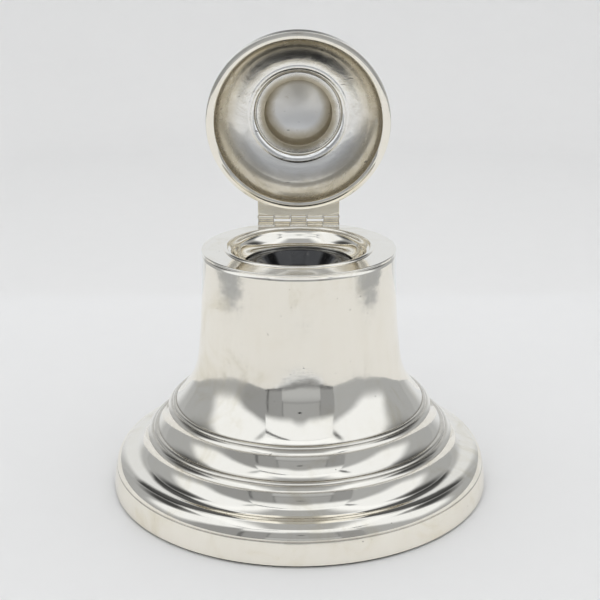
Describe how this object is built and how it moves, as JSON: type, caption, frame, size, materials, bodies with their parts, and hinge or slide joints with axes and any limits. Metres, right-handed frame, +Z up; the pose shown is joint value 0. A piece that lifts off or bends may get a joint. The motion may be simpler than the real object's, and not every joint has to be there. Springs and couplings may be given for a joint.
{
  "type": "inkwell",
  "caption": "Bell-shaped desk inkwell on a stepped round foot, with a lift-out glass liner and a hollow round lid on a back hinge.",
  "frame": {"origin": "centre of the round face it stands on", "axes": "+Z up, +Y from the front to the hinge, +X to the right seen from the front"},
  "size_m": [0.1506, 0.1506, 0.1759],
  "materials": {
    "silver": "polished silver with fine scratches",
    "tarnished_silver": "silver with golden tarnish and matte patches",
    "hinge_silver": "worn silver",
    "well_lining": "dull, stained by ink",
    "inky_glass": "thick moulded glass stained by dried ink",
    "plaster": "rough cast",
    "board": "turned hardwood",
    "baize": "worn dark baize"
  },
  "bodies": {
    "body": {"top_plate": "silver", "mouth_lip": "silver", "well_dish": "silver", "neck_wall": "silver", "upper_ring_fillet": "silver", "upper_ring_bead": "silver", "middle_stage": "silver", "lower_ring_fillet": "silver", "lower_ring_bead": "silver", "lower_stage": "silver", "foot_band": "silver", "hinge_body_leaf": "silver", "hinge_knuckle_1": "hinge_silver", "hinge_knuckle_3": "hinge_silver", "hinge_knuckle_5": "hinge_silver", "hinge_pin": "hinge_silver", "well_sleeve": "well_lining", "well_floor": "well_lining", "loading": "plaster", "base_board": "board", "baize_pad": "baize"},
    "liner": {"glass_liner": "inky_glass"},
    "lid": {"lid_rim": "silver", "lid_shell": "tarnished_silver", "lid_collar": "tarnished_silver", "lid_button": "tarnished_silver", "hinge_lid_leaf": "silver", "hinge_knuckle_2": "hinge_silver", "hinge_knuckle_4": "hinge_silver"}
  },
  "joints": [
    {"name": "lid_hinge", "type": "hinge", "parent": "body", "child": "lid", "pos_m": [0, 0.0407, 0.0981], "axis": [1, 0, 0], "range_deg": [0, 82.6]},
    {"name": "liner_lift", "type": "slide", "parent": "body", "child": "liner", "axis": [0, 0, 1], "range_m": [0, 0.08]}
  ]
}
